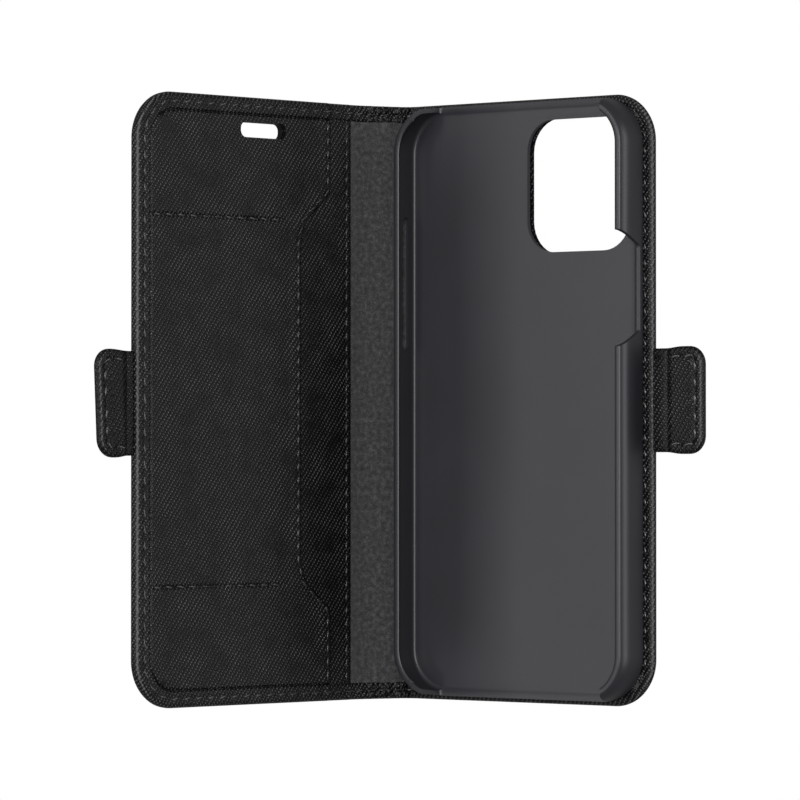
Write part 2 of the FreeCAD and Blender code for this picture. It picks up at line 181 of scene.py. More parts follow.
def new_piece(name, points, faces, material, grain=None, painted_light=None):
    """Mesh object from points in metres.

    grain holds each point's place on the leather, in mm. The last argument holds how much painted
    highlight the base colour gets at each point (below zero: painted shade)."""
    mesh = bpy.data.meshes.new(name)
    mesh.from_pydata([tuple(p) for p in points], [], faces)
    if grain is not None:
        layer = mesh.uv_layers.new(name="grain")
        for loop in mesh.loops:
            layer.data[loop.index].uv = grain[loop.vertex_index]
    if painted_light is not None:
        mesh.attributes.new("painted_light", "FLOAT", "POINT").data.foreach_set("value", painted_light)
    mesh.materials.append(material)
    piece = bpy.data.objects.new(name, mesh)
    bpy.context.scene.collection.objects.link(piece)
    tidy(piece)
    return piece


def tidy(piece):
    """Joins double points, turns every face outwards and shades it smooth up to a sharp angle."""
    work = bmesh.new()
    work.from_mesh(piece.data)
    bmesh.ops.remove_doubles(work, verts=work.verts, dist=2e-6)
    bmesh.ops.dissolve_degenerate(work, edges=work.edges, dist=1e-6)
    bmesh.ops.recalc_face_normals(work, faces=work.faces)
    for face in work.faces:
        face.smooth = True
    for edge in work.edges:
        sharp = len(edge.link_faces) == 2 and edge.calc_face_angle(0) > SHARP_ANGLE
        edge.smooth = not sharp
    work.to_mesh(piece.data)
    work.free()


def cut(piece, cutter):
    """Takes the cutter's solid out of the piece."""
    modifier = piece.modifiers.new("cut", "BOOLEAN")
    modifier.operation = "DIFFERENCE"
    modifier.solver = "EXACT"
    modifier.object = cutter
    bpy.context.view_layer.update()
    evaluated = piece.evaluated_get(bpy.context.evaluated_depsgraph_get())
    mesh = bpy.data.meshes.new_from_object(evaluated)
    piece.modifiers.clear()
    piece.data = mesh
    tidy(piece)


def drop(*pieces):
    for piece in pieces:
        bpy.data.objects.remove(piece)


def strips(rows):
    """Quads between rows of point numbers that have the same length."""
    faces = []
    for one, two in zip(rows, rows[1:]):
        for i in range(len(one) - 1):
            faces.append((one[i], one[i + 1], two[i + 1], two[i]))
    return faces


def cap(row):
    """Quads across a row that runs out and back, joining its mirrored points."""
    faces = []
    count = len(row)
    for i in range(count // 2 - 1):
        faces.append((row[i], row[i + 1], row[count - 2 - i], row[count - 1 - i]))
    return faces


def wrapped_faces(rows):
    """Faces of a flat body whose rows of points run round its rim, from its inside to its outside."""
    ends = [row[0] for row in rows] + [row[-1] for row in reversed(rows)]
    return strips(rows) + cap(rows[0]) + cap(rows[-1]) + [tuple(ends)]


def slab_faces(lines, per_line):
    """Faces of a slab whose two sides are equal grids of points, each of that many lines."""
    per_side = lines * per_line
    faces = []
    for first in (0, per_side):
        faces += strips([[first + i * per_line + j for j in range(per_line)] for i in range(lines)])
    outline = [i * per_line for i in range(lines)]
    outline += [(lines - 1) * per_line + j for j in range(1, per_line)]
    outline += [i * per_line + per_line - 1 for i in range(lines - 2, -1, -1)]
    outline += [j for j in range(per_line - 2, 0, -1)]
    for here, there in zip(outline, outline[1:] + outline[:1]):
        faces.append((here, there, there + per_side, here + per_side))
    return faces


def prism(outline, place, low, high):
    """Cutting solid between two copies of an outline. place(a, b, depth) gives a place in metres."""
    count = len(outline)
    points = [place(a, b, depth) for depth in (low, high) for a, b in outline]
    faces = [tuple(range(count)), tuple(range(2 * count - 1, count - 1, -1))]
    for i in range(count):
        j = (i + 1) % count
        faces.append((i, j, j + count, i + count))
    return new_piece("cutter", points, faces, NO_MATERIAL)


def window_cutter(place, u_range, z_range, low, high, radius):
    """Cutting solid through a cover between two heights n, with an outline rounded at its corners."""
    u0, u1 = u_range
    z0, z1 = z_range
    outline = []
    for cu, cz, first in ((u1, z1, 0), (u0, z1, 90), (u0, z0, 180), (u1, z0, 270)):
        centre_u = cu - math.copysign(radius, cu - (u0 + u1) / 2)
        centre_z = cz - math.copysign(radius, cz - (z0 + z1) / 2)
        for step in range(0, 91, 10):
            angle = math.radians(first + step)
            outline.append((centre_u + radius * math.cos(angle), centre_z + radius * math.sin(angle)))
    return prism(outline, lambda u, z, n: place(u, n, z), low, high)


NO_MATERIAL = bpy.data.materials.new("cutter")


# ---------------------------------------------------------------------------------------------
# Materials
# ---------------------------------------------------------------------------------------------

def grey(level, tint=0.0):
    return (level, level, level * (1 + tint), 1.0)


def start_material(name, color, roughness, specular):
    material = bpy.data.materials.new(name)
    material.use_nodes = True
    nodes = material.node_tree.nodes
    shader = nodes["Principled BSDF"]
    shader.inputs["Base Color"].default_value = color
    shader.inputs["Roughness"].default_value = roughness
    shader.inputs["Specular IOR Level"].default_value = specular
    material.diffuse_color = color
    return material, material.node_tree, shader


def add(tree, kind, **values):
    node = tree.nodes.new(kind)
    for name, value in values.items():
        setattr(node, name, value)
    return node


def math_node(tree, operation, one, two):
    node = add(tree, "ShaderNodeMath", operation=operation)
    for socket, value in zip(node.inputs, (one, two)):
        if isinstance(value, (int, float)):
            socket.default_value = value
        else:
            tree.links.new(value, socket)
    return node.outputs[0]


def scaled(tree, value, factor, offset=0.0):
    """The socket's value times factor, plus offset."""
    node = add(tree, "ShaderNodeMath", operation="MULTIPLY_ADD")
    tree.links.new(value, node.inputs[0])
    node.inputs[1].default_value = factor
    node.inputs[2].default_value = offset
    return node.outputs[0]


def noise_node(tree, vector, scale, detail=2.0, roughness=0.5):
    node = add(tree, "ShaderNodeTexNoise")
    node.inputs["Scale"].default_value = scale
    node.inputs["Detail"].default_value = detail
    node.inputs["Roughness"].default_value = roughness
    tree.links.new(vector, node.inputs["Vector"])
    return node.outputs["Fac"]


def ramp_node(tree, factor, stops):
    node = add(tree, "ShaderNodeValToRGB")
    while len(node.color_ramp.elements) < len(stops):
        node.color_ramp.elements.new(0.5)
    for element, (position, color) in zip(node.color_ramp.elements, stops):
        element.position = position
        element.color = color
    tree.links.new(factor, node.inputs["Fac"])
    return node.outputs["Color"]


def bump_node(tree, height, distance, strength):
    node = add(tree, "ShaderNodeBump")
    node.inputs["Distance"].default_value = distance
    node.inputs["Strength"].default_value = strength
    tree.links.new(height, node.inputs["Height"])
    return node.outputs["Normal"]


def hatch(tree, vector, turn, period, distortion):
    """Fine parallel ridges across the leather, period mm apart."""
    mapping = add(tree, "ShaderNodeMapping")
    mapping.inputs["Rotation"].default_value = (0, 0, math.radians(turn))
    tree.links.new(vector, mapping.inputs["Vector"])
    wave = add(tree, "ShaderNodeTexWave", wave_type="BANDS", bands_direction="X", wave_profile="SIN")
    wave.inputs["Scale"].default_value = 2 * math.pi / (20 * period)
    wave.inputs["Distortion"].default_value = distortion
    wave.inputs["Detail"].default_value = 1.0
    wave.inputs["Detail Scale"].default_value = 1.6
    tree.links.new(mapping.outputs["Vector"], wave.inputs["Vector"])
    return wave.outputs["Fac"]


def leather_material(name, level, roughness, turn):
    """Pressed leather: fine diagonal ridges, cut into dots by a crossing set, shinier on their tops.

    The dots come and go in patches. Their tops are also painted up to 17 times lighter in the base
    colour, a painted highlight for glints. The per-point painted light value scales this: above zero
    it gives more painted highlight, and below zero it gives painted shade."""
    material, tree, shader = start_material(name, grey(level, 0.04), roughness, 0.2)
    grain = add(tree, "ShaderNodeUVMap", uv_map="grain").outputs["UV"]
    main = hatch(tree, grain, turn, GRAIN_PITCH, 1.1)
    cross = hatch(tree, grain, turn - 74, GRAIN_PITCH * 0.7, 2.2)
    patches = noise_node(tree, grain, 0.14, 3.0, 0.6)
    pores = noise_node(tree, grain, 2.4, 3.0, 0.7)
    dots = scaled(tree, cross, 0.95, 0.2)
    dots = math_node(tree, "MULTIPLY", dots, scaled(tree, patches, 1.9, -0.15))
    ridges = math_node(tree, "MULTIPLY", math_node(tree, "POWER", main, 1.5), dots)
    height = math_node(tree, "ADD", ridges, scaled(tree, pores, 0.6))
    # Painted light per point: above zero it adds painted highlight, below zero painted shade.
    painted_light = add(tree, "ShaderNodeAttribute", attribute_name="painted_light").outputs["Fac"]
    tone = math_node(tree, "MULTIPLY", height, scaled(tree, painted_light, 3.0, 1.0))
    # The ramp's lower stops are the grain's own tone; its stops at 4 and 17 times the level are painted
    # highlight on the grain's tops.
    color = ramp_node(tree, tone, [
        (0.28, grey(level * 0.4)), (0.56, grey(level, 0.04)), (0.8, grey(level * 4.0, 0.04)),
        (1.0, grey(level * 17.0, 0.04)),
    ])
    tree.links.new(color, shader.inputs["Base Color"])
    tree.links.new(scaled(tree, height, -0.2, roughness + 0.14), shader.inputs["Roughness"])
    tree.links.new(bump_node(tree, height, 0.0002, 0.95), shader.inputs["Normal"])
    return material


def suede_material():
    """Brushed microfibre: short soft nap, lighter where it is brushed up."""
    material, tree, shader = start_material("suede_lining", grey(0.035), 0.95, 0.1)
    shader.inputs["Sheen Weight"].default_value = 0.35
    shader.inputs["Sheen Roughness"].default_value = 0.45
    shader.inputs["Sheen Tint"].default_value = grey(0.8)
    grain = add(tree, "ShaderNodeUVMap", uv_map="grain").outputs["UV"]
    clouds = noise_node(tree, grain, 0.8, 3.0, 0.6)
    nap = noise_node(tree, grain, 3.4, 4.0, 0.75)
    tone = math_node(tree, "ADD", scaled(tree, clouds, 0.45), scaled(tree, nap, 0.55))
    color = ramp_node(tree, tone, [
        (0.36, grey(0.022, 0.04)), (0.5, grey(0.047, 0.04)), (0.63, grey(0.098, 0.05)),
    ])
    tree.links.new(color, shader.inputs["Base Color"])
    tree.links.new(bump_node(tree, nap, 0.00018, 0.7), shader.inputs["Normal"])
    return material


def tray_material():
    """Moulded plastic with a very fine satin spark-eroded texture."""
    material, tree, shader = start_material("tray_plastic", grey(0.022, 0.12), 0.42, 0.42)
    place = add(tree, "ShaderNodeTexCoord").outputs["Object"]
    fine = noise_node(tree, place, 5200.0, 2.0)
    broad = noise_node(tree, place, 60.0, 2.0)
    color = ramp_node(tree, broad, [(0.3, grey(0.0175, 0.22)), (0.7, grey(0.0195, 0.25))])
    tree.links.new(color, shader.inputs["Base Color"])
    tree.links.new(scaled(tree, broad, 0.03, 0.39), shader.inputs["Roughness"])
    tree.links.new(bump_node(tree, fine, 0.00002, 0.5), shader.inputs["Normal"])
    return material


def thread_material():
    """Twisted polyester with a slight sheen."""
    material, tree, shader = start_material("thread", grey(0.006), 0.34, 0.7)
    place = add(tree, "ShaderNodeTexCoord").outputs["Object"]
    fibres = noise_node(tree, place, 9000.0, 2.0)
    color = ramp_node(tree, fibres, [(0.3, grey(0.005)), (0.7, grey(0.017))])
    tree.links.new(color, shader.inputs["Base Color"])
    tree.links.new(bump_node(tree, fibres, 0.00003, 0.5), shader.inputs["Normal"])
    return material


LEATHER_LEVEL = 0.0045
GRAIN_PITCH = 1.08
COVER_LEATHER = leather_material("outer_leather", LEATHER_LEVEL, 0.3, 38)
PANEL_LEATHER = leather_material("inner_leather", LEATHER_LEVEL, 0.3, 38)
SUEDE = suede_material()
TRAY_PLASTIC = tray_material()
THREAD = thread_material()


# ---------------------------------------------------------------------------------------------
# Covers: each is one leather-wrapped body that runs from the middle of the spine to its free edge
# ---------------------------------------------------------------------------------------------

# Heights along the flat drawing, as (U, n): the turned band, and the leather under the linings.
# The front cover's band steps up where it passes over the inner panel and over the card pocket.
PANEL_EDGE = 3.9
POCKET_EDGE = 11.9
POCKET_OUTLINE = [(-1.0, 11.9), (23.5, 11.9), (30.7, 20.5), (36.0, 22.2), (117.0, 22.2), (122.3, 20.5),
                  (129.7, 11.9), (HEIGHT + 1.0, 11.9)]
BAND_LEVEL = [
    (-SPINE - POCKET_EDGE - 0.9, 2.75), (-SPINE - POCKET_EDGE + 0.7, 2.3),
    (-SPINE - PANEL_EDGE - 0.7, 2.3), (-SPINE - PANEL_EDGE + 0.6, 1.95),
    (-SPINE + 1.0, BAND_TOP), (-SPINE / 2, 1.75), (0.0, 1.45), (5.0, 1.9),
]
FLOOR_LEVEL = [(-SPINE - 6.0, 1.3), (-SPINE, 0.85), (-SPINE / 2, 1.05), (0.0, 0.55), (4.5, 1.3)]
LINING_THICKNESS = 0.45
PUCKER_PITCH = 1.9
PUCKER_DEPTH = 0.55
EDGE_PITCH = 4.0
EDGE_STITCH = 2.9
SEAM_PITCH = 3.35
SEAM_STITCH = 2.45


def band_level(u, inset):
    """Height of the turned band, gathered into small puckers at the ends of the spine."""
    level = between(u, BAND_LEVEL)
    for edge in (PANEL_EDGE, POCKET_EDGE):
        level += 0.34 * math.exp(-((u + SPINE + edge + 0.5) / 0.7) ** 2)
    gathered = smooth_step(u, -SPINE - 1.5, -SPINE + 3.5) * (1 - smooth_step(u, 0.5, 4.0))
    if gathered <= 0:
        return level
    row = 1 if inset < STITCH_INSET else 2
    phase = 2 * math.pi * u / PUCKER_PITCH + 1.7 * math.sin(u * 0.9 + row) + row * 2.1
    lump = PUCKER_DEPTH * (0.65 + 0.35 * math.sin(u * 1.7 + row * 1.3)) * math.sin(phase)
    seam = math.exp(-((inset - STITCH_INSET) / 0.45) ** 2)
    rim = smooth_step(inset, 0.2, 1.0) * (1 - smooth_step(inset, BAND - 0.35, BAND))
    return level + gathered * (rim * lump * (1 - seam) - 0.28 * seam)


def section(u, along):
    """A cover's edge from its inside, over the band and round the edge, to its outside, as (inset, n).

    along is the distance along the seam, which is pulled down a little at each stitch hole."""
    floor = between(u, FLOOR_LEVEL)
    crest = band_level(u, 1.3)
    hole = 0.5 - 0.5 * math.cos(2 * math.pi * along / EDGE_PITCH)
    rows = [(BAND + 1.2, floor), (BAND, floor), (BAND, band_level(u, BAND) - 0.5)]
    shape = (
        (BAND - 0.07, 0.28, 0.0), (BAND - 0.2, 0.1, 0.0), (BAND - 0.45, 0.0, 0.0), (BAND - 1.0, 0.0, 0.03),
        (STITCH_INSET + 0.5, 0.02, 0.1), (STITCH_INSET, 0.12, 0.16), (STITCH_INSET - 0.5, 0.02, 0.12),
        (1.35, 0.0, 0.07),
    )
    for inset, sunk, pulled in shape:
        rows.append((inset, band_level(u, inset) - sunk - pulled * hole))
    crest -= 0.05 * hole
    rows += [(0.95, crest - 0.06), (0.6, crest - 0.2), (0.28, crest - 0.5), (0.07, crest - 0.9)]
    rows += [(0.0, (crest + OUTER_FACE) / 2)]
    rows += [(0.07, OUTER_FACE + 0.72), (0.26, OUTER_FACE + 0.34), (0.26, OUTER_FACE + 0.34)]
    rows += [(0.55, OUTER_FACE + 0.12)]
    rows += [(1.0, OUTER_FACE), (STITCH_INSET - 0.5, OUTER_FACE), (STITCH_INSET, OUTER_FACE + 0.14)]
    rows += [(STITCH_INSET + 0.5, OUTER_FACE), (BAND + 1.2, OUTER_FACE)]
    return rows


def laid_flat(column):
    """Distance in from the edge at which each point of a section lies in the grain of the leather.

    The grain runs on round the edge and starts anew at the doubled point of the outer corner."""
    insets = [column[0][0]]
    for one, two in zip(column, column[1:]):
        if one == two:
            break
        insets.append(insets[-1] - math.dist(one, two))
    return insets + [inset for inset, n in column[len(insets):]]


def painted_rim_highlight(inset, out_x):
    """Painted highlight in the base colour along the rounded rim: strongest on the upright edges, where
    light catches it, and weaker along the ends.
    """
    return math.exp(-((inset - 0.33) / 0.12) ** 2) * (0.2 + 0.8 * out_x ** 2)


Rim = namedtuple("Rim", "start end corner seam_inset height")


def rim_half(rim):
    """Length of the seam along half of a rim, from its start to the middle of its far side."""
    arc = (rim.corner - rim.seam_inset) * math.pi / 2
    return rim.end - rim.corner - rim.start + arc + rim.height / 2 - rim.corner


def rim_station(rim, along):
    """Place on the lower half of a rim, as (x, z, out_x, out_z), that far along its seam."""
    straight = rim.end - rim.corner - rim.start
    arc = (rim.corner - rim.seam_inset) * math.pi / 2
    if along <= straight:
        return (rim.start + along, 0.0, 0.0, -1.0)
    if along <= straight + arc:
        angle = (along - straight) / (rim.corner - rim.seam_inset)
        out_x, out_z = math.sin(angle), -math.cos(angle)
        return (rim.end - rim.corner + rim.corner * out_x, rim.corner + rim.corner * out_z, out_x, out_z)
    return (rim.end, rim.corner + along - straight - arc, 1.0, 0.0)


def rim_path(rim, step):
    """Stations round a rim's three sides, as (x, z, out_x, out_z, along), about step mm apart."""
    half = rim_half(rim)
    count = round(half / step)
    path = []
    for i in range(count + 1):
        along = half * i / count
        path.append(rim_station(rim, along) + (along,))
    mirrored = [(x, rim.height - z, out_x, -out_z, along)
                for x, z, out_x, out_z, along in reversed(path[:-1])]
    return path + mirrored


FRONT_RIM = Rim(SPINE / 2, SPINE + FRONT_WIDTH, CORNER, STITCH_INSET, HEIGHT)
BACK_RIM = Rim(-SPINE / 2, BACK_WIDTH, CORNER, STITCH_INSET, HEIGHT)


def cover_body(name, side, rim):
    """The leather-wrapped body of a cover and its half of the spine.

    side is +1 for the back cover and -1 for the front. The rim's x runs along side * U."""
    path = rim_path(rim, 0.45)
    columns = [section(side * x, along) for x, z, out_x, out_z, along in path]
    flat_columns = [laid_flat(column) for column in columns]
    rows, points, grain, painted_light = [], [], [], []
    for k in range(len(columns[0])):
        row = []
        for (x, z, out_x, out_z, along), column, flat in zip(path, columns, flat_columns):
            inset, n = column[k]
            row.append(len(points))
            points.append(bent(side * (x - out_x * inset), n, z - out_z * inset))
            grain.append((side * (x - out_x * flat[k]), z - out_z * flat[k]))
            # Painted highlight along the rim, put into the base colour.
            painted_light.append(painted_rim_highlight(inset, out_x))
        rows.append(row)
    return new_piece(name, points, wrapped_faces(rows), COVER_LEATHER, grain, painted_light)


def fold_with_front(piece):
    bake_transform(piece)


def fold_with_back(piece):
    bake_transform(piece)


SLOT_U = (27.3, 42.7)
SLOT_Z = (142.8, 146.7)
SLOT_RADIUS = 1.75
CAMERA_U = (40.5, 72.5)
CAMERA_Z = (114.0, 147.5)
CAMERA_RADIUS = 8.0
# The window in the back cover is a little larger all round than the one in the tray.
CAMERA_EASE = 0.5
THROUGH_COVER = (-3.0, 6.0)


def eased(ends, ease):
    return (ends[0] - ease, ends[1] + ease)


slot_cutter = window_cutter(on_front, SLOT_U, SLOT_Z, *THROUGH_COVER, SLOT_RADIUS)
camera_cutter = window_cutter(bent, eased(CAMERA_U, CAMERA_EASE), eased(CAMERA_Z, CAMERA_EASE),
                              *THROUGH_COVER, CAMERA_RADIUS + CAMERA_EASE)

front_skin = cover_body("front_cover_leather", -1, FRONT_RIM)
cut(front_skin, slot_cutter)
fold_with_front(front_skin)
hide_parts("front_outer_leather", "front_board")

back_skin = cover_body("back_cover_leather", 1, BACK_RIM)
cut(back_skin, camera_cutter)
fold_with_back(back_skin)
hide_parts("back_outer_leather", "back_board", "spine_outer_leather", "spine_board")


# ---------------------------------------------------------------------------------------------
# Suede lining, in a front and a back part that meet in the middle of the spine
# ---------------------------------------------------------------------------------------------

LINING_REACH = 5.2
LINING_TUCK = 0.25
LINING_HEIGHT = HEIGHT - 2 * BAND + 2 * LINING_TUCK


def lining(name, start, end):
    """Suede laid on the cover between the turned bands, from U = start to U = end."""
    columns = max(2, round(abs(end - start) / 0.5))
    heights = 60
    points, grain = [], []
    for thickness in (0, LINING_THICKNESS):
        for i in range(columns + 1):
            u = start + (end - start) * i / columns
            for j in range(heights + 1):
                z = BAND - LINING_TUCK + LINING_HEIGHT * j / heights
                wave = 0.05 * math.sin(z * 0.21 + u * 0.6) + 0.035 * math.sin(z * 0.57 - u * 0.9)
                n = between(u, FLOOR_LEVEL)
                if thickness:
                    n += thickness + wave
                points.append(bent(u, n, z))
                grain.append((u, z))
    return new_piece(name, points, slab_faces(columns + 1, heights + 1), SUEDE, grain)


front_lining = lining("front_suede_lining", -SPINE - LINING_REACH, -SPINE / 2)
fold_with_front(front_lining)
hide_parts("front_lining_margin")
back_lining = lining("back_suede_lining", -SPINE / 2, BACK_WIDTH - BAND)
cut(back_lining, camera_cutter)
fold_with_back(back_lining)
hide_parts("back_lining", "spine_lining")


# ---------------------------------------------------------------------------------------------
# Inner panel and card pocket of the front cover
# ---------------------------------------------------------------------------------------------

CARD_STOPS = (30.0, 122.4)
CARD_STOP_START = 28.3
PANEL_STITCH = 5.6
POCKET_STITCH_GAP = 1.1
POCKET_BEND = 1.2
POCKET_BEND_SAMPLES = 11
SLOPE_REACH = 0.2
PANEL_REACH = -0.3
POCKET_REACH = 0.14


def pocket_mouth(z):
    """Distance of the pocket's edge from the cover fold at a height: deep at the ends, waisted between."""
    total = 0.0
    for k in range(POCKET_BEND_SAMPLES):
        at = z + POCKET_BEND * (2 * k / (POCKET_BEND_SAMPLES - 1) - 1)
        for (low, low_u), (high, high_u) in zip(POCKET_OUTLINE, POCKET_OUTLINE[1:]):
            if at <= high or high == POCKET_OUTLINE[-1][0]:
                total += low_u + (high_u - low_u) * (at - low) / (high - low)
                break
    return total / POCKET_BEND_SAMPLES


def panel_mouth(z):
    """Distance of the inner panel's edge from the cover fold: the same at every height."""
    return PANEL_EDGE


def slope_of(mouth, z, reach):
    """Slope of a layer's mouth at a height, taken over that reach each way."""
    return (mouth(z + reach) - mouth(z - reach)) / (2 * reach)


def far_edge(z, inside):
    """Distance from the cover fold to the line that lies inside the band's edge, at a height."""
    corner = CORNER - BAND - inside
    rise = max(0.0, CORNER - z, z - (HEIGHT - CORNER))
    return FRONT_WIDTH - CORNER + math.sqrt(max(0.0, corner ** 2 - rise ** 2))


def from_band(u, z):
    """Distance of a place on the front cover from the edge of its turned band."""
    across = u - (FRONT_WIDTH - CORNER)
    rise = max(CORNER - z, z - (HEIGHT - CORNER))
    if across > 0 and rise > 0:
        return CORNER - BAND - math.hypot(across, rise)
    return CORNER - BAND - max(across, rise)


def layer_heights(inside):
    """Heights for a layer's rows, closer together at its ends and beside the card stop seams."""
    low = BAND + inside
    heights = [low, low + 0.08, low + 0.2, low + 0.4, low + 0.7]
    while heights[-1] < HEIGHT - low - 1.2:
        here = heights[-1]
        near = min(abs(here - stop) for stop in CARD_STOPS)
        heights.append(here + (0.22 if near < 1.6 else 0.5))
    return heights + [HEIGHT - z for z in reversed(heights[:5])]


FAR_SHARES = (0.04, 0.1, 0.18, 0.28, 0.38, 0.48, 0.58, 0.68, 0.78, 0.88)
FAR_MARGINS = (0.8, 0.4, 0.2, 0.08, 0.0)
# Each is (how far behind the mouth it ends, its painted light value; below zero is painted shade).
CUT_EDGE_PAINTED_SHADOW = (0.2, -1.0)
HEM_PAINTED_DIMMING = (0.9, -0.12)


def hem_painted_shade(behind):
    """Painted shade on a layer that far behind its mouth: a painted shadow along the cut edge, and less
    painted highlight on the hem, so it is darker.
    """
    for reach, painted_light in (CUT_EDGE_PAINTED_SHADOW, HEM_PAINTED_DIMMING):
        if behind < reach:
            return painted_light
    return 0.0


def leather_layer(name, mouth, hem, bottom, inside, dip):
    """A leather sheet sewn on the front cover, from its mouth to the turned band.

    hem lists (distance behind the mouth, n) for the cut edge, and dip(u, z) is taken off n."""
    heights = layer_heights(inside)
    points, grain, painted_light = [], [], []
    columns = len(hem) + len(FAR_SHARES) + len(FAR_MARGINS)
    for top in (False, True):
        for z in heights:
            edge = mouth(z)
            stretch = math.hypot(1, slope_of(mouth, z, SLOPE_REACH))
            hem_end = edge + hem[-1][0] * stretch
            far = far_edge(z, inside)
            places = [(edge + behind * stretch, n) for behind, n in hem]
            places += [(hem_end + share * (far - 1.0 - hem_end), hem[-1][1]) for share in FAR_SHARES]
            places += [(far - margin, hem[-1][1]) for margin in FAR_MARGINS]
            for u, n in places:
                points.append(on_front(u, (n if top else bottom) - dip(u, z), z))
                grain.append((-SPINE - u, z))
                # Painted shadow at the mouth's cut edge, and less painted highlight on the hem.
                painted_light.append(hem_painted_shade((u - edge) / stretch))
    return new_piece(name, points, slab_faces(len(heights), columns), PANEL_LEATHER, grain, painted_light)


def seam_dip(distance, along, pitch, depth, width):
    """Groove of a seam, deepest at the stitch holes."""
    hole = 0.5 - 0.5 * math.cos(2 * math.pi * along / pitch)
    return depth * (0.5 + 0.5 * hole) * math.exp(-(distance / width) ** 2)


def panel_dip(u, z):
    return seam_dip(u - PANEL_STITCH, z - HEIGHT / 2, SEAM_PITCH, 0.16, 0.55)


def pocket_wave(u, z):
    """Slow unevenness of the pocket's leather."""
    return 0.04 * math.sin(0.13 * z + 0.21 * u) + 0.03 * math.sin(0.31 * z - 0.17 * u)


def pocket_dip(u, z):
    behind = u - pocket_mouth(z)
    total = 0.0
    if behind < 3.0:
        behind /= math.hypot(1, slope_of(pocket_mouth, z, SLOPE_REACH))
        total += seam_dip(behind - POCKET_STITCH_GAP, z - HEIGHT / 2, SEAM_PITCH, 0.14, 0.35)
    for stop in CARD_STOPS:
        start = smooth_step(u, CARD_STOP_START - 1.5, CARD_STOP_START)
        total += start * seam_dip(z - stop, u - CARD_STOP_START, EDGE_PITCH, 0.5, 0.45)
    total += pocket_wave(u, z)
    return total + 0.4 * (1 - smooth_step(from_band(u, z), POCKET_REACH, POCKET_REACH + 0.45))


PANEL_HEM = [(0.0, 1.85), (0.06, 1.98), (0.22, 2.08), (0.5, 2.14), (0.9, 2.15), (1.35, 2.14), (1.6, 2.13),
             (1.9, 2.12), (2.2, 2.11), (2.5, 2.10), (3.2, 2.08), (4.2, 2.05)]
POCKET_HEM = [(0.0, 2.6), (0.05, 2.8), (0.18, 2.94), (0.4, 3.02), (0.65, 3.03), (0.85, 3.01), (1.1, 3.0),
              (1.35, 2.99), (1.7, 2.96), (2.3, 2.9), (3.0, 2.84), (3.6, 2.72), (4.6, 2.66)]

inner_panel = leather_layer("front_inner_leather", panel_mouth, PANEL_HEM, 1.78, PANEL_REACH, panel_dip)
cut(inner_panel, slot_cutter)
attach(inner_panel, "front_cover")
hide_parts("front_inner_panel")

card_pocket = leather_layer("card_pocket_leather", pocket_mouth, POCKET_HEM, 2.4, POCKET_REACH, pocket_dip)
cut(card_pocket, slot_cutter)
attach(card_pocket, "front_cover")
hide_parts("card_pocket")


# ---------------------------------------------------------------------------------------------
# Stitches: every one is a short length of two-ply thread that dives into the leather at both ends
# ---------------------------------------------------------------------------------------------

THREAD_RADIUS = 0.27
EDGE_SLANT = 5
SEAM_SLANT = 7
CARD_STOP_SLANT = 3
# How far a seam's thread lies under the leather's face, and how much more along the short sides.
STITCH_SUNK = 0.16
CROSSWAYS_SUNK = 0.15
CARD_STOP_LEVEL = 2.1
POCKET_THREAD_LEVEL = 2.93
PANEL_THREAD_LEVEL = 2.05
THREAD_RINGS = 9
THREAD_SIDES = 8


def add_thread(points, faces, place, centre, along, length, level, up):
    """One stitch. centre and along are in the plane of the leather, and up is +1 on its inner face."""
    u, z = centre
    across = (-along[1], along[0])
    first = len(points)
    for ring in range(THREAD_RINGS):
        x = 2 * ring / (THREAD_RINGS - 1) - 1
        radius = THREAD_RADIUS * (1 - 0.45 * x ** 4)
        height = level + up * (0.17 - 0.3 * x ** 4)
        for side in range(THREAD_SIDES):
            angle = 2 * math.pi * side / THREAD_SIDES
            ply = radius * (1 + 0.2 * math.cos(2 * angle - 4.2 * x))
            sideways = ply * math.cos(angle)
            raised = 0.62 * ply * math.sin(angle)
            shift = 0.5 * length * x
            points.append(place(u + along[0] * shift + across[0] * sideways, height + raised,
                                z + along[1] * shift + across[1] * sideways))
    starts = [first + ring * THREAD_SIDES for ring in range(THREAD_RINGS)]
    rings = [[start + side for side in range(THREAD_SIDES)] for start in starts]
    for one, two in zip(rings, rings[1:]):
        for i in range(THREAD_SIDES):
            j = (i + 1) % THREAD_SIDES
            faces.append((one[i], one[j], two[j], two[i]))
    faces.append(tuple(reversed(rings[0])))
    faces.append(tuple(rings[-1]))


def thread_run(name, place, stitches):
    """Piece made of stitches, given as (centre, along, length, level, up)."""
    points, faces = [], []
    for stitch in stitches:
        add_thread(points, faces, place, *stitch)
    piece = new_piece(name, points, faces, THREAD)
    return piece


def slanted(along, slant):
    """Direction of a stitch that lies slightly across its seam."""
    turn = math.radians(slant)
    return (along[0] * math.cos(turn) - along[1] * math.sin(turn),
            along[0] * math.sin(turn) + along[1] * math.cos(turn))


def cover_stitches(side, rim, first):
    """Both faces' stitches round one cover and its half of the spine."""
    stitches = []
    for k in range(first, int(rim_half(rim) / EDGE_PITCH) + 1):
        for mirrored in (False, True):
            x, z, out_x, out_z = rim_station(rim, k * EDGE_PITCH)
            x -= out_x * STITCH_INSET
            z -= out_z * STITCH_INSET
            along = (-side * out_z, out_x)
            if mirrored:
                z = HEIGHT - z
                along = (along[0], -along[1])
            u = side * x
            inside = band_level(u, STITCH_INSET) - STITCH_SUNK - CROSSWAYS_SUNK * abs(out_z)
            stitches.append(((u, z), slanted(along, EDGE_SLANT), EDGE_STITCH, inside, 1))
            stitches.append(((u, z), slanted(along, EDGE_SLANT), EDGE_STITCH, OUTER_FACE + 0.12, -1))
    return stitches


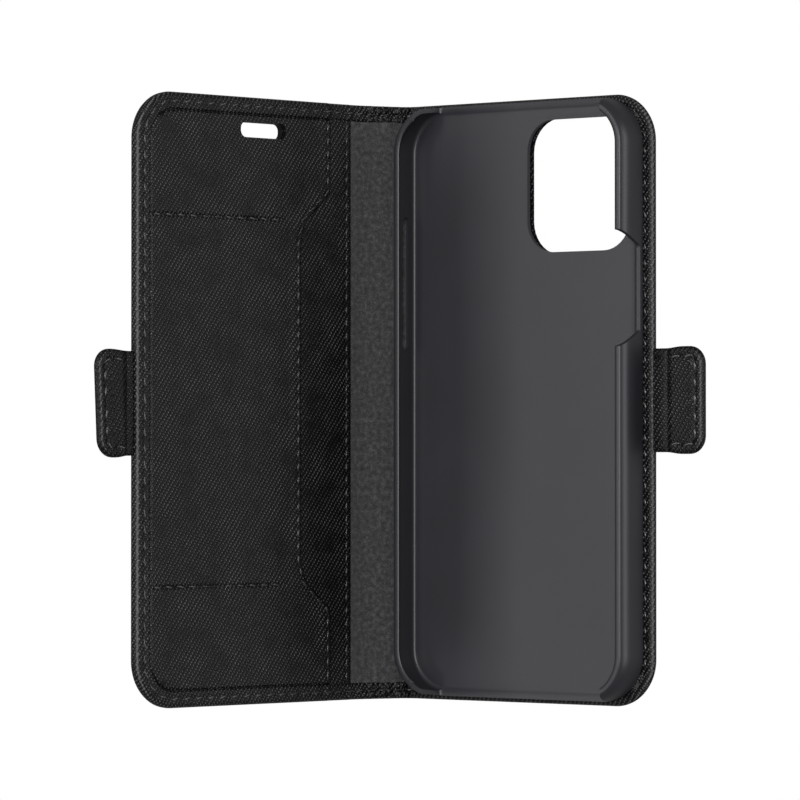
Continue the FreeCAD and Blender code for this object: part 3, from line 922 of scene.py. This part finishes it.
front_stitches = thread_run("front_perimeter_thread", bent, cover_stitches(-1, FRONT_RIM, 1))
fold_with_front(front_stitches)
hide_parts("front_perimeter_stitching")
back_stitches = thread_run("back_perimeter_thread", bent, cover_stitches(1, BACK_RIM, 0))
fold_with_back(back_stitches)
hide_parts("back_perimeter_stitching", "spine_edge_stitching")


def card_stop_stitches(stop):
    """Stitches of the seam that ends the card pocket at a height, with the leather's unevenness."""
    stitches = []
    for k in range(int((FRONT_WIDTH - BAND - CARD_STOP_START) / EDGE_PITCH)):
        centre = (CARD_STOP_START + (k + 0.5) * EDGE_PITCH, stop)
        level = CARD_STOP_LEVEL - pocket_wave(*centre)
        stitches.append((centre, slanted((1.0, 0.0), CARD_STOP_SLANT), EDGE_STITCH, level, 1))
    return stitches


card_stops = [stitch for stop in CARD_STOPS for stitch in card_stop_stitches(stop)]
card_stop_thread = thread_run("card_stop_thread", on_front, card_stops)
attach(card_stop_thread, "front_cover")
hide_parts("card_stop_stitching")


def upright_seam(mouth, behind, level):
    """Stitches that follow a layer's mouth at a constant distance behind it."""
    stitches = []
    for towards, first in ((1, HEIGHT / 2), (-1, HEIGHT / 2 - SEAM_PITCH)):
        z = first
        while BAND + 1.0 < z < HEIGHT - BAND - 1.0:
            slope = slope_of(mouth, z, 3 * SLOPE_REACH)
            stretch = math.hypot(1, slope)
            along = (slope / stretch, 1 / stretch)
            centre = (mouth(z) + behind * stretch, z)
            stitches.append((centre, slanted(along, SEAM_SLANT), SEAM_STITCH, level, 1))
            z += towards * SEAM_PITCH / stretch
    return stitches


pocket_thread = thread_run("pocket_edge_thread", on_front,
                           upright_seam(pocket_mouth, POCKET_STITCH_GAP, POCKET_THREAD_LEVEL))
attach(pocket_thread, "front_cover")
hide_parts("pocket_edge_stitching")
panel_thread = thread_run("inner_panel_thread", on_front,
                          upright_seam(panel_mouth, PANEL_STITCH - PANEL_EDGE, PANEL_THREAD_LEVEL))
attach(panel_thread, "front_cover")
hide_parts("inner_panel_stitching")


# ---------------------------------------------------------------------------------------------
# Closing tabs: one padded leather tongue each, creased at its fold
# ---------------------------------------------------------------------------------------------

TAB_HEIGHT = 26.7
TAB_CORNER = 4.5
TAB_SEAM = 2.4
TAB_ROOT = 5.3
TAB_PITCH = 4.0
TAB_STITCH = 2.8
# Painted highlight line just inside a tab's free edge, and a painted dimming of the whole tab.
TAB_PAINTED_HIGHLIGHT = 0.8
TAB_PAINTED_HIGHLIGHT_INSET = 0.75
TAB_PAINTED_DIMMING = 0.08
TAB_BEND = 1.2


def tab_rim(fold_u, length):
    return Rim(fold_u - TAB_ROOT, fold_u + length, TAB_CORNER, TAB_SEAM, TAB_HEIGHT)


def tab_highlight_and_dimming(inset, out_x):
    """Painted light on a tab: a painted highlight line just inside its free edge, and a little less painted
    highlight all over than on the cover.
    """
    return TAB_PAINTED_HIGHLIGHT * math.exp(-((inset - TAB_PAINTED_HIGHLIGHT_INSET) / 0.22) ** 2) * out_x ** 4 - TAB_PAINTED_DIMMING


def tab_body(name, fold_u, length, low, lean, place, mirror):
    """The tongue from inside the cover to its free end, with u counted from the cover's own fold."""
    path = rim_path(tab_rim(fold_u, length), 0.3)
    columns = [tab_section(x - fold_u, along) for x, z, out_x, out_z, along in path]
    rows, points, grain, painted_light = [], [], [], []
    for k in range(len(columns[0])):
        row = []
        for (x, z, out_x, out_z, along), column in zip(path, columns):
            inset, n = column[k]
            u = x - out_x * inset
            v = z - out_z * (inset + tab_waist(x - fold_u))
            u += lean * (v - TAB_HEIGHT / 2) * smooth_step(u, fold_u, fold_u + 3)
            row.append(len(points))
            points.append(place(u, n, low + v))
            round_edge = TAB_LEVEL - n
            grain.append((mirror * (u + out_x * round_edge), low + v + out_z * round_edge))
            # Painted highlight along the free edge, painted dimming elsewhere.
            painted_light.append(tab_highlight_and_dimming(inset, out_x))
        rows.append(row)
    return new_piece(name, points, wrapped_faces(rows), COVER_LEATHER, grain, painted_light)


def tab_waist(beyond):
    """How much narrower the tongue is on each side, near its root, than across its pad."""
    return 0.45 * (1 - smooth_step(beyond, -0.5, 4.5))


def tab_half_thickness(beyond):
    """Half the tongue's thickness at a distance beyond its fold."""
    pad = 0.42 + 0.58 * smooth_step(beyond, 0.1, 2.0)
    return pad - 0.24 * math.exp(-(beyond / 0.42) ** 2)


def tab_section(beyond, along):
    """The tongue's edge from its inner face to its outer face, as (inset, n)."""
    half = tab_half_thickness(beyond)
    hole = 0.5 - 0.5 * math.cos(2 * math.pi * along / TAB_PITCH)
    sewn = 1 - 0.8 * math.exp(-(beyond / 0.7) ** 2)
    shape = (
        (4.3, 0.0), (3.5, 0.0), (TAB_SEAM + 0.5, -0.04 * sewn), (TAB_SEAM, -sewn * (0.12 + 0.14 * hole)),
        (TAB_SEAM - 0.5, -0.02 * sewn), (1.5, 0.02), (1.05, 0.0), (0.7, -0.07), (0.4, -0.18), (0.17, -0.35),
        (0.04, -0.58),
    )
    inner = [(inset, TAB_LEVEL + max(0.03, half + rise)) for inset, rise in shape]
    outer = [(inset, TAB_LEVEL - max(0.03, half + rise)) for inset, rise in reversed(shape)]
    return inner + [(0.0, TAB_LEVEL)] + outer


def tab_stitches(fold_u, length, low, lean):
    """Both faces' stitches round a tab, from just past its fold."""
    rim = tab_rim(fold_u, length)
    stitches = []
    for k in range(int(rim_half(rim) / TAB_PITCH) + 1):
        x, z, out_x, out_z = rim_station(rim, k * TAB_PITCH)
        x -= out_x * TAB_SEAM
        z -= out_z * TAB_SEAM
        if x < fold_u + TAB_BEND + TAB_STITCH / 2:
            continue
        if -out_z > 0.5:
            z += tab_waist(x - fold_u)
        level = tab_half_thickness(x - fold_u) - STITCH_SUNK
        for v, along in ((z, (-out_z, out_x)), (TAB_HEIGHT - z, (-out_z, -out_x))):
            centre = (x + lean * (v - TAB_HEIGHT / 2), low + v)
            for up in (1, -1):
                stitches.append((centre, slanted(along, EDGE_SLANT), TAB_STITCH, TAB_LEVEL + up * level, up))
    return stitches


TAB_LOW = (HEIGHT - TAB_HEIGHT) / 2
Tab = namedtuple("Tab", "cover place mirror fold_u length low lean")
# The two tabs don't sit at quite the same height, and the front one leans.
TABS = (
    Tab("front", on_front, -1, FRONT_TAB_U, 9.8, TAB_LOW - 1.05, 0.045),
    Tab("back", bent, 1, BACK_TAB_U, 11.3, TAB_LOW - 0.15, 0.0),
)
for tab in TABS:
    name = tab.cover + "_tab"
    fit = (tab.fold_u, tab.length, tab.low, tab.lean)
    tongue = tab_body(name + "_leather", *fit, tab.place, tab.mirror)
    start, end = (tab.place(tab.fold_u + side * TAB_BEND, TAB_LEVEL, 0) for side in (-1, 1))
    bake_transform(tongue)
    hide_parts(name + "_root", name + "_outer_leather", name + "_inner_leather", name + "_magnet")
    threads = thread_run(name + "_thread", tab.place, tab_stitches(*fit))
    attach(threads, name)
    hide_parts(name + "_stitching")


# ---------------------------------------------------------------------------------------------
# Phone tray
# ---------------------------------------------------------------------------------------------

TRAY_U = (2.6, 76.2)
TRAY_Z = (1.1, 152.2)
TRAY_CORNER = 12.0
TRAY_FLOOR = 3.1
TRAY_RIM = 11.3
TRAY_SECTION = [
    (0.6, 2.0), (0.3, 2.25), (0.08, 2.7), (0.0, 3.3), (0.0, 8.0), (0.06, 8.9), (0.25, 9.8), (0.55, 10.55),
    (0.8, 10.98), (0.98, 11.18), (1.25, 11.28), (1.6, TRAY_RIM), (2.1, 11.28), (2.4, 11.2), (2.55, 11.06),
    (2.5, 10.9), (2.2, 10.75), (1.95, 10.55), (1.6, 10.0), (1.3, 9.3), (1.12, 8.5), (1.08, 7.8), (1.08, 4.3),
    (1.16, 3.8), (1.4, 3.4), (1.8, 3.16), (2.4, TRAY_FLOOR),
]
POWER_NOTCH_Z = (89.4, 119.0)
POWER_NOTCH_SLOPE = 4.0
POWER_NOTCH_FLOOR = 3.6
VOLUME_WINDOW_Z = (89.0, 125.0)
VOLUME_WINDOW_N = (4.0, 9.0)
VOLUME_WINDOW_RADIUS = 2.0
END_GRIP = 6.9
END_SLOPE = 3.0
END_CUT = 4.5
WALL_CUT = 3.5
EASED_CORNER = 1.2


def tray_outline():
    """Stations round the tray, as (u, z, out_u, out_z)."""
    stations = []
    corners = ((TRAY_U[1], TRAY_Z[0], -90), (TRAY_U[1], TRAY_Z[1], 0),
               (TRAY_U[0], TRAY_Z[1], 90), (TRAY_U[0], TRAY_Z[0], 180))
    middle_u, middle_z = sum(TRAY_U) / 2, sum(TRAY_Z) / 2
    for u, z, first in corners:
        centre_u = u - math.copysign(TRAY_CORNER, u - middle_u)
        centre_z = z - math.copysign(TRAY_CORNER, z - middle_z)
        for step in range(0, 91, 5):
            angle = math.radians(first + step)
            out = (math.cos(angle), math.sin(angle))
            stations.append((centre_u + TRAY_CORNER * out[0], centre_z + TRAY_CORNER * out[1]) + out)
    return stations


def through_wall(z, n, u):
    return on_back(u, n, z)


ROUNDING_STEPS = 6


def rounded_outline(corners, radius):
    """Outline through corners given anticlockwise, each rounded with that radius."""
    outline = []
    for i, here in enumerate(corners):
        here = Vector(here)
        before = (Vector(corners[i - 1]) - here).normalized()
        after = (Vector(corners[(i + 1) % len(corners)]) - here).normalized()
        half = before.angle(after) / 2
        reach = radius / math.tan(half)
        a, b = here + before * reach, here + after * reach
        centre = here + (before + after).normalized() * radius / math.sin(half)
        for step in range(ROUNDING_STEPS + 1):
            spoke = (a - centre).slerp(b - centre, step / ROUNDING_STEPS)
            outline.append(tuple(centre + spoke))
    return outline


def tray_cutters():
    """Solids of the tray's openings: power notch, volume window, both ends and camera window."""
    z0, z1 = POWER_NOTCH_Z
    slope = POWER_NOTCH_SLOPE
    top = 2 * TRAY_RIM - POWER_NOTCH_FLOOR
    notch = rounded_outline([(z0 - slope, top), (z0 + slope, POWER_NOTCH_FLOOR),
                             (z1 - slope, POWER_NOTCH_FLOOR), (z1 + slope, top)], EASED_CORNER)
    z0, z1 = VOLUME_WINDOW_Z
    n0, n1 = VOLUME_WINDOW_N
    window = rounded_outline([(z0, n0), (z1, n0), (z1, n1), (z0, n1)], VOLUME_WINDOW_RADIUS)
    low_u, high_u = TRAY_U[0] + END_GRIP, TRAY_U[1] - END_GRIP
    floor, high = TRAY_FLOOR + 0.02, 2 * TRAY_RIM - TRAY_FLOOR
    end = rounded_outline([(low_u + END_SLOPE, floor), (high_u - END_SLOPE, floor),
                           (high_u + END_SLOPE, high), (low_u - END_SLOPE, high)], EASED_CORNER)
    return [
        prism(notch, through_wall, TRAY_U[1] - WALL_CUT, TRAY_U[1] + 1),
        prism(window, through_wall, TRAY_U[0] - 1, TRAY_U[0] + WALL_CUT),
        prism(end, on_back, TRAY_Z[0] - 1, TRAY_Z[0] + END_CUT),
        prism(end, on_back, TRAY_Z[1] - END_CUT, TRAY_Z[1] + 1),
        window_cutter(on_back, CAMERA_U, CAMERA_Z, 1.0, 6.0, CAMERA_RADIUS),
    ]


def phone_tray():
    """The moulding: its section carried round the outline, closed by the floor, with its openings cut."""
    stations = tray_outline()
    rows, points = [], []
    for inset, n in TRAY_SECTION:
        row = []
        for u, z, out_u, out_z in stations:
            row.append(len(points))
            points.append(on_back(u - out_u * inset, n, z - out_z * inset))
        rows.append(row)
    faces = strips([row + row[:1] for row in rows]) + [tuple(rows[0]), tuple(rows[-1])]
    tray = new_piece("phone_tray_moulding", points, faces, TRAY_PLASTIC)
    cutters = tray_cutters()
    for cutter in cutters:
        cut(tray, cutter)
    drop(*cutters)
    return tray


tray = phone_tray()
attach(tray, "back_cover")
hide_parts("phone_tray", "tray_tape")
drop(slot_cutter, camera_cutter)


# ---------------------------------------------------------------------------------------------
# Camera and light
# ---------------------------------------------------------------------------------------------

VIEW_TURN = math.radians(38.7)
VIEW_RISE = math.radians(0.82)
VIEW_DISTANCE = 1220.0
VIEW_SHIFT = 2.6
# Distance at which the line of sight crosses the middle of the case's height.
LEVEL_DISTANCE = 1175.0
FOCAL_LENGTH = 211.92
SENSOR_WIDTH = 36
towards = Vector((-math.sin(VIEW_TURN), math.cos(VIEW_TURN), 0))
rightwards = Vector((math.cos(VIEW_TURN), math.sin(VIEW_TURN), 0))
eye = Vector((BACK_AXIS.x, BACK_AXIS.y, HEIGHT / 2)) - rightwards * VIEW_SHIFT - towards * VIEW_DISTANCE
eye.z -= LEVEL_DISTANCE * math.tan(VIEW_RISE)
lens = bpy.data.cameras.new("camera")
lens.lens = FOCAL_LENGTH
lens.sensor_width = SENSOR_WIDTH
lens.clip_start = 0.05
lens.clip_end = 20
camera = bpy.data.objects.new("camera", lens)
camera.location = eye * MM
camera.rotation_euler = (math.pi / 2 + VIEW_RISE, 0, VIEW_TURN)
bpy.context.scene.collection.objects.link(camera)
bpy.context.scene.camera = camera

CASE_CENTRE = Vector((0, 0, HEIGHT / 2 * MM))


def soft_box(name, aside, above, back, size, power):
    """Area light at that place beside, above and back from the case as the camera sees it, in metres."""
    data = bpy.data.lights.new(name, "AREA")
    data.shape = "RECTANGLE"
    data.size, data.size_y = size
    data.energy = power
    light = bpy.data.objects.new(name, data)
    light.location = CASE_CENTRE + rightwards * aside + Vector((0, 0, above)) - towards * back
    aim = CASE_CENTRE - light.location
    light.rotation_euler = aim.to_track_quat("-Z", "Y").to_euler()
    bpy.context.scene.collection.objects.link(light)


soft_box("front", -0.1, 0.15, 1.15, (0.25, 0.7), 11.0)
soft_box("key", -0.9, 0.2, 0.95, (0.4, 0.9), 5.0)
soft_box("left_rim", -1.0, 0.1, 0.45, (0.2, 1.1), 4.0)
soft_box("right_rim", 1.05, 0.1, 0.35, (0.25, 1.1), 5.0)

world = bpy.data.worlds.new("white studio")
bpy.context.scene.world = world
world.use_nodes = True
tree = world.node_tree
tree.nodes.clear()
seen = add(tree, "ShaderNodeBackground")
seen.inputs["Color"].default_value = (1, 1, 1, 1)
lighting = add(tree, "ShaderNodeBackground")
lighting.inputs["Color"].default_value = grey(1.0)
lighting.inputs["Strength"].default_value = 0.2
ray = add(tree, "ShaderNodeLightPath")
mix = add(tree, "ShaderNodeMixShader")
tree.links.new(ray.outputs["Is Camera Ray"], mix.inputs["Fac"])
tree.links.new(lighting.outputs["Background"], mix.inputs[1])
tree.links.new(seen.outputs["Background"], mix.inputs[2])
tree.links.new(mix.outputs["Shader"], add(tree, "ShaderNodeOutputWorld").inputs["Surface"])
bpy.context.scene.view_settings.view_transform = "Standard"
